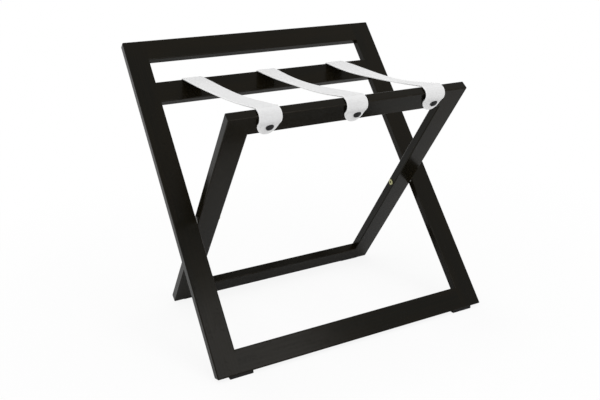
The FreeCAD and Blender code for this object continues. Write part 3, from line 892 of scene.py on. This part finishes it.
class StrapSizes(PropertyGroup):
    """The straps and the rails that they lie on."""

    width: length_of("Width", "Across the strap", 44.0)
    thickness: length_of("Thickness", "Of the leather", 2.8)
    pitch: length_of("Pitch", "From one strap's middle to the next", 173.9)
    front_tongue: length_of("Front tongue", "Length of the rounded front end", 34.0)
    rear_tongue: length_of("Rear tongue", "Length of the rounded rear end", 22.0)
    tip_flat: length_of("Flat tip", "Width left flat at the very tip", 2.0)
    lean_from: length_of("Lean from", "The tongue starts to lean this far from its tip", 34.0)
    tongue_leans: lengths_of("Tongue leans", "Of the three tips, to the right", 2.5, 5.8, 7.0)
    rear_drifts: lengths_of("Rear drifts", "Of the rear ends, to the right", -0.9, -2.2, -1.2)
    cap_shifts: lengths_of("Cap shifts", "Of the front caps, to the right", 4.5, 8.5, 8.0)
    left_rise: lengths_of("Left rise", "Above the even sag, by waves", 1.0, -0.7, -0.2)
    centre_rise: lengths_of("Centre rise", "Above the even sag, by waves", -1.3, 0.3, -0.4)
    right_rise: lengths_of("Right rise", "Above the even sag, by waves", -1.5, -0.2, -0.2)
    left_roll: lengths_of("Left roll", "Of the right edge, up, by waves", -0.9, -0.1, 0.3)
    centre_roll: lengths_of("Centre roll", "Of the right edge, up, by waves", -1.4, 0.8, 0.3)
    right_roll: lengths_of("Right roll", "Of the right edge, up, by waves", -1.3, -1.4, 0.5)
    edge_rounding: length_of("Edge rounding", "Of the cut edges", 1.3)
    curl: length_of("Curl", "Rise of the edges in the open span", 0.4)
    wave: length_of("Wave", "Unevenness of the open span", 0.3)
    pucker: length_of("Pucker", "Rise of the leather round a cap", 0.25)
    off_wood: length_of("Off the wood", "Gap between leather and rail", 0.3)
    sag: length_of("Sag", "Below the straight line between the rails", 8.0)
    overhang: length_of("Overhang", "Of the front end past its rail's lower edge", 2.0)
    rear_stop: length_of("Rear stop", "Of the rear end short of its rail's lower edge", 4.0)
    loop_radius: length_of("Loop radius", "Where the leather turns over the front rail", 13.0)
    loop_stand_off: length_of("Loop stand-off", "Of the loop, out from the rail", 4.3)
    loop_lift: length_of("Loop lift", "Of the loop, up from the rail", 1.5)
    loop_length: length_of("Loop length", "Down to where the leather lies on the rail", 29.5)
    bend_share: share_of("Bend share", "A gentle bend's radius, of the largest that fits", 0.9)
    board_width: length_of("Board width", "Rails, across their face", 46.0)
    board_thickness: length_of("Board thickness", "Rails, from face to face", 18.0)
    arris_radius: length_of("Arris radius", "Rounding of the rails' edges", 2.0)
    front_rail_top: length_of("Front rail", "From the pivot up to its top edge", 303.0)
    rear_rail_top: length_of("Rear rail", "From the pivot up to its top edge", 306.5)
    cap_from_tip: length_of("Cap from tip", "A cap's middle, from the strap's tip", 19.0)
    cap_rise: length_of("Cap rise", "Of the front caps, up their rail", 0.8)
    cap_skirt: length_of("Cap skirt", "Of the front caps, which stand over the loop's foot", 1.3)
    longest_cut: length_of("Longest cut", "Between two cross lines of the mesh", 3.5)
    columns: count_of("Columns", "Faces across a strap", 20, 4)
    edge_cuts: count_of("Edge cuts", "Faces round half of a cut edge", 4, 1)
    tongue_cuts: count_of("Tongue cuts", "Cross lines round a tongue", 22, 4)


class FittingLook(PropertyGroup):
    """Caps, pivots, pads and what is hidden in the joints."""

    cap_diameter: length_of("Cap diameter", "Over the cap's rim", 15.0)
    cap_height: length_of("Cap height", "From its rim plane to the crown", 4.0)
    cap_black: colour_of("Cap black", "Deepest tone of the caps", 0.0075, 0.0075, 0.0080)
    cap_grey: colour_of("Cap grey", "Hazed tone of the caps", 0.0140, 0.0140, 0.0145)
    cap_scuff: colour_of("Cap scuffs", "Fine rubbed lines", 0.0550, 0.0550, 0.0560)
    brass_bright: colour_of("Brass", "Cleanest brass", 0.500, 0.480, 0.260)
    brass_dull: colour_of("Dull brass", "Brass under its bloom", 0.350, 0.360, 0.190)
    brass_spot: colour_of("Brass spots", "Dark spots", 0.080, 0.085, 0.045)
    rubber_dark: colour_of("Rubber", "Deepest tone of the pads", 0.0060, 0.0060, 0.0062)
    rubber_light: colour_of("Rubber bloom", "Palest tone of the pads", 0.0125, 0.0124, 0.0122)
    dust_colour: colour_of("Dust", "Dust low down on the pads", 0.060, 0.056, 0.050)
    nylon_light: colour_of("Nylon", "Palest nylon", 0.300, 0.296, 0.280)
    nylon_shade: colour_of("Nylon shade", "Deeper nylon", 0.230, 0.226, 0.212)
    beech_light: colour_of("Beech", "Palest beech", 0.560, 0.380, 0.230)
    beech_shade: colour_of("Beech shade", "Deeper beech", 0.430, 0.270, 0.150)
    beech_fleck: colour_of("Beech flecks", "Dark flecks", 0.220, 0.120, 0.060)
    steel_light: colour_of("Steel", "Brightest plating", 0.620, 0.625, 0.630)
    steel_shade: colour_of("Steel shade", "Hazed plating", 0.430, 0.435, 0.445)


class StageSettings(PropertyGroup):
    """The floor, the light and the camera."""

    camera_place: FloatVectorProperty(name="Camera place", description="Where the camera stands",
                                      default=(-0.73315, -1.40775, 0.73297), size=3,
                                      subtype="TRANSLATION", unit="LENGTH")
    camera_turn: angle_of("Camera turn", "About the upright axis", -27.463)
    camera_dip: angle_of("Camera dip", "Below the horizon", 14.522)
    camera_roll: angle_of("Camera roll", "About its own axis", -2.301)
    lens: FloatProperty(name="Lens", description="Focal length in millimetres", default=46.908,
                        subtype="DISTANCE_CAMERA", unit="CAMERA")
    shift_x: FloatProperty(name="Shift across", description="Of the lens", default=-0.0028)
    shift_y: FloatProperty(name="Shift up", description="Of the lens", default=-0.0662)
    floor_half: FloatProperty(name="Floor", description="Half of the floor's side", default=30.0,
                              subtype="DISTANCE", unit="LENGTH")
    floor_colour: colour_of("Floor colour", "Plain pale floor", 0.93, 0.93, 0.93)
    plain_white: share_of("Plain white", "How far the floor shows white, not its shade", 0.88)
    mirrored_white: share_of("Mirrored white", "The same, in a reflection of the floor", 0.1)
    shadow_kept: length_of("Shadow kept", "The floor's shadow is full this near the middle", 350.0)
    shadow_gone: length_of("Shadow gone", "The floor's shadow is gone this far out", 1300.0)
    room_light: number_of("Room light", "Strength of the even light all round", 0.78)
    key_light: number_of("Key light", "Power of the frontal lamp, in watts", 7.4)
    key_size: length_of("Key size", "Side of the frontal lamp", 850.0)
    key_direction: direction_of("Key direction", "Towards the frontal lamp", 0.22, -0.82, 0.53)
    top_light: number_of("Top light", "Power of the overhead lamp, in watts", 8.5)
    top_size: length_of("Top size", "Side of the overhead lamp", 600.0)
    top_direction: direction_of("Top direction", "Towards the overhead lamp", -0.02, 0.16, 1.0)
    lamp_distance: length_of("Lamp distance", "From the rack's middle", 2200.0)


# ---- the stage ----

SENSOR_WIDTH = 36.0
NEAREST_SEEN, FARTHEST_SEEN = 0.05, 100.0


def plain_floor(stage):
    """Pale matt floor. It looks plain white, and keeps the rack's soft shadow near its feet."""
    finish = Finish("plain_floor", Specular_IOR_Level=0.0, Roughness=1.0,
                    Base_Color=rgba(stage.floor_colour))
    solid = finish.add("ShaderNodeTexCoord").outputs["Object"]
    x = finish.along(solid, ACROSS)
    y = finish.along(solid, REARWARD)
    away = (x * x + y * y) ** 0.5
    far = away.rising(stage.shadow_kept, stage.shadow_gone)
    looked_at = stage.plain_white + (1.0 - stage.plain_white) * far
    mirrored = stage.mirrored_white + (1.0 - stage.mirrored_white) * far
    glossy = finish.seen_rays("Is Glossy Ray")
    share = glossy * mirrored + (1.0 - glossy) * finish.seen_rays() * looked_at
    white = finish.add("ShaderNodeEmission", {}, {"Color": WHITE, "Strength": 1.0})
    mixed = finish.add("ShaderNodeMixShader", {}, {0: share, 1: finish.shader.outputs[0],
                                                   2: white.outputs[0]})
    finish.feed(finish.output.inputs["Surface"], mixed.outputs[0])
    return finish.material


def even_room(stage):
    """A white room where it is looked at, and soft even light everywhere else."""
    world = bpy.data.worlds.new("even_room")
    room = Nodes(world)
    strength = stage.room_light + room.seen_rays() * (1.0 - stage.room_light)
    light = room.add("ShaderNodeBackground", {}, {"Color": WHITE, "Strength": strength})
    room.add("ShaderNodeOutputWorld", {}, {"Surface": light.outputs[0]})
    return world


def studio_camera(stage):
    """The camera, turned, dipped below the horizon and rolled."""
    lens = bpy.data.cameras.new("studio_camera")
    lens.lens = stage.lens
    lens.sensor_width = SENSOR_WIDTH
    lens.sensor_fit = "HORIZONTAL"
    lens.shift_x = stage.shift_x
    lens.shift_y = stage.shift_y
    lens.clip_start, lens.clip_end = NEAREST_SEEN, FARTHEST_SEEN
    turned = Matrix.Rotation(stage.camera_turn, 4, "Z")
    turned = turned @ Matrix.Rotation(math.pi / 2 - stage.camera_dip, 4, "X")
    turned = turned @ Matrix.Rotation(stage.camera_roll, 4, "Z")
    camera = shown("studio_camera", lens)
    camera.matrix_world = Matrix.Translation(stage.camera_place) @ turned
    return camera


def hang_lamp(name, power, size, towards, stage):
    """A square lamp that shines at the rack's middle from a direction."""
    lamp = bpy.data.lights.new(name, "AREA")
    lamp.shape = "SQUARE"
    lamp.size = size
    lamp.energy = power
    low, high = CAD_BOX
    direction = Vector(towards).normalized()
    place = (low + high) / 2 + direction * stage.lamp_distance
    aim = direction.to_track_quat("Z", "Y").to_matrix().to_4x4()
    shown(name, lamp).matrix_world = Matrix.Translation(place) @ aim


class RACK_OT_set_stage(Operator):
    """Lay the floor, set the camera and hang the light"""

    bl_idname = "rack.set_stage"
    bl_label = "Set the stage"

    def execute(self, context):
        scene = context.scene
        stage = scene.rack_stage
        scene.view_settings.view_transform = "Standard"
        scene.camera = studio_camera(stage)

        half = stage.floor_half
        sheet = bpy.data.meshes.new("studio_floor")
        sheet.from_pydata([(-half, -half, 0), (half, -half, 0), (half, half, 0), (-half, half, 0)],
                          [], [(0, 1, 2, 3)])
        floor = shown("studio_floor", sheet, plain_floor(stage))
        scene.world = even_room(stage)
        hang_lamp("key_lamp", stage.key_light, stage.key_size, stage.key_direction, stage)
        hang_lamp("top_lamp", stage.top_light, stage.top_size, stage.top_direction, stage)
        return {"FINISHED"}


# ---- the rack ----

# Each frame's turn, its stiles and its rails.
BOARDS = {
    OUTER: (OUTER_TURN, ("outer_left_stile", "outer_right_stile"),
            ("backrest_rail", "rear_strap_rail", "outer_bottom_rail")),
    INNER: (INNER_TURN, ("inner_left_stile", "inner_right_stile"),
            ("front_strap_rail", "inner_bottom_rail")),
}

# How much further along its wood or hide each next board or strap is cut, in millimetres.
BOARD_STEP = 431
STRAP_STEP = 700.0


class RACK_OT_stain_boards(Operator):
    """Stain the stiles and rails, each with its own piece of grain"""

    bl_idname = "rack.stain_boards"
    bl_label = "Stain the boards"

    def execute(self, context):
        look = context.scene.rack_wood
        shift = 0
        for turn, stiles, rails in BOARDS.values():
            for board in stiles + rails:
                grain = up_frame(turn) if board in stiles else ACROSS
                shift += BOARD_STEP
                face = out_of_frame(turn)
                paint(board, stained_wood(board + "_stain", grain, face, shift, look))
        return {"FINISHED"}


class RACK_OT_finish_dowels(Operator):
    """Give the hidden joint dowels their beech"""

    bl_idname = "rack.finish_dowels"
    bl_label = "Finish the dowels"

    def execute(self, context):
        beech = fluted_beech("joint_beech", context.scene.rack_fittings)
        for dowels in ("outer_frame_dowels", "inner_frame_dowels"):
            paint(dowels, beech)
        return {"FINISHED"}


class RACK_OT_finish_pivots(Operator):
    """Finish the pivot bolts, washers, bushes and threaded inserts"""

    bl_idname = "rack.finish_pivots"
    bl_label = "Finish the pivots"

    def execute(self, context):
        look = context.scene.rack_fittings
        brass = aged_brass("pivot_brass", look)
        nylon = pale_nylon("pivot_nylon", look)
        for side in SIDES:
            paint(side + "_pivot_bolt", brass)
            paint(side + "_threaded_insert", brass)
            paint(side + "_pivot_washer", nylon)
            paint(side + "_pivot_bush", nylon)
        return {"FINISHED"}


class RACK_OT_make_straps(Operator):
    """Make the three leather straps over the rails"""

    bl_idname = "rack.make_straps"
    bl_label = "Make the straps"

    def execute(self, context):
        sizes = context.scene.rack_straps
        look = context.scene.rack_leather
        edge = leather_cut_edge("strap_cut_edge", look)
        flesh = leather_flesh_side("strap_flesh_side", look)
        # The leather sinks, rolls, curls and waves in the open span only, so the wrapped ends lie
        # on their rails.
        for index, place in enumerate(STRAPS):
            centre_x = (index - 1) * sizes.pitch
            grain = leather_grain_side("strap_grain_side_" + place, STRAP_STEP * index, look)
            mesh = strap_mesh(place + "_leather_strap", centre_x, index, sizes)
            strap = shown(place + "_leather_strap", mesh, grain, edge, flesh)
            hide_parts("strap_" + place)
            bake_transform(strap)
        return {"FINISHED"}


# The corners over a cap's skirt, in millimetres: in from the rim, up, and the rounding.
CAP_CORNERS = ((0.0, 0.75, 0.3), (0.95, 0.95, 0.2), (1.05, 0.72, 0.08), (1.30, 0.78, 0.0))
CAP_OPENING = 4.6 * MM
SKIRT_ROUNDING = 0.25 * MM
DOME_INSET = 1.45 * MM
REAR_SKIRT = 0.3 * MM
CORNER_CUTS, DOME_CUTS, CUTS_AROUND = 4, 10, 56


def cap_outline(rim, crown, skirt):
    """Half of a cap's section: a thin rolled rim over a skirt, a fine groove and the dome."""
    corners = [(CAP_OPENING, -skirt, 0.0), (rim, -skirt, SKIRT_ROUNDING)]
    corners += [(rim - inset * MM, up * MM, rounding * MM) for inset, up, rounding in CAP_CORNERS]
    outline = rounded_outline(corners, CORNER_CUTS)
    ball = (rim ** 2 + crown ** 2) / 2 / crown
    for k in range(DOME_CUTS):
        radius = (rim - DOME_INSET) * math.cos(math.pi / 2 * k / DOME_CUTS)
        outline.append((radius, crown - ball + math.sqrt(ball ** 2 - radius ** 2)))
    return outline + [(0.0, crown)]


class RACK_OT_fit_caps(Operator):
    """Turn the caps that cover the strap screws, and finish the screws"""

    bl_idname = "rack.fit_caps"
    bl_label = "Fit the caps"

    def execute(self, context):
        look = context.scene.rack_fittings
        sizes = context.scene.rack_straps
        plastic = moulded_plastic("cap_plastic", look)
        steel = plated_steel("strap_screw_steel", look)
        on_leather = sizes.board_thickness / 2 + sizes.off_wood + sizes.thickness
        front = sizes.front_rail_top - sizes.board_width - sizes.overhang + sizes.cap_from_tip
        rear = sizes.rear_rail_top - sizes.board_width + sizes.rear_stop + sizes.cap_from_tip
        rows = {"front": (INNER, INNER_TURN, front + sizes.cap_rise, 1, sizes.cap_skirt,
                          sizes.cap_shifts),
                "rear": (OUTER, OUTER_TURN, rear, -1, REAR_SKIRT, (0.0, 0.0, 0.0))}
        for row, (body, turn, up, facing, skirt, shifts) in rows.items():
            places = []
            outward = facing * out_of_frame(turn)
            for index, shift in enumerate(shifts):
                x = (index - 1) * sizes.pitch + shift
                spot = on_frame(turn, x, up, facing * (on_leather + skirt))
                axes = Matrix((ACROSS, outward.cross(ACROSS), outward)).transposed()
                places.append(Matrix.Translation(spot) @ axes.to_4x4())
            outline = cap_outline(look.cap_diameter / 2, look.cap_height, skirt)
            mesh = turned_mesh(row + "_strap_caps_turned", outline, CUTS_AROUND, places)
            caps = shown(row + "_strap_caps_turned", mesh, plastic)
            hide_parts(row + "_strap_caps")
            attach(caps, body)
            paint(row + "_strap_screws", steel)
        return {"FINISHED"}


class RACK_OT_finish_feet(Operator):
    """Finish the rubber pads and their screws"""

    bl_idname = "rack.finish_feet"
    bl_label = "Finish the feet"

    def execute(self, context):
        look = context.scene.rack_fittings
        rubber = pad_rubber("pad_rubber", look)
        steel = plated_steel("foot_screw_steel", look)
        for which in ("outer", "inner"):
            for side in SIDES:
                paint(which + "_" + side + "_foot", rubber)
            paint(which + "_foot_screws", steel)
        return {"FINISHED"}


class RACK_PT_panel(Panel):
    """Lists the rack's pieces and their settings"""

    bl_idname = "RACK_PT_panel"
    bl_label = "Folding luggage rack"
    bl_space_type = "VIEW_3D"
    bl_region_type = "UI"
    bl_category = "Rack"

    def draw(self, context):
        for operator in OPERATORS:
            self.layout.operator(operator.bl_idname)
        for group, kind in GROUPS.items():
            box = self.layout.box()
            box.label(text=kind.__doc__)
            for key in kind.__annotations__:
                box.prop(getattr(context.scene, group), key)


OPERATORS = (RACK_OT_set_stage, RACK_OT_stain_boards, RACK_OT_finish_dowels,
             RACK_OT_finish_pivots, RACK_OT_make_straps, RACK_OT_fit_caps, RACK_OT_finish_feet)
GROUPS = {"rack_stage": StageSettings, "rack_wood": WoodLook, "rack_leather": LeatherLook,
          "rack_straps": StrapSizes, "rack_fittings": FittingLook}


def register():
    for group, kind in GROUPS.items():
        bpy.utils.register_class(kind)
        setattr(bpy.types.Scene, group, PointerProperty(type=kind))
    for kind in OPERATORS + (RACK_PT_panel,):
        bpy.utils.register_class(kind)


def unregister():
    for kind in reversed(OPERATORS + (RACK_PT_panel,)):
        bpy.utils.unregister_class(kind)
    for group, kind in reversed(list(GROUPS.items())):
        delattr(bpy.types.Scene, group)
        bpy.utils.unregister_class(kind)


def main():
    register()
    bpy.ops.rack.set_stage()
    bpy.ops.rack.stain_boards()
    bpy.ops.rack.finish_dowels()
    bpy.ops.rack.finish_pivots()
    bpy.ops.rack.make_straps()
    bpy.ops.rack.fit_caps()
    bpy.ops.rack.finish_feet()
    bpy.context.view_layer.update()


if __name__ == "__main__":
    main()
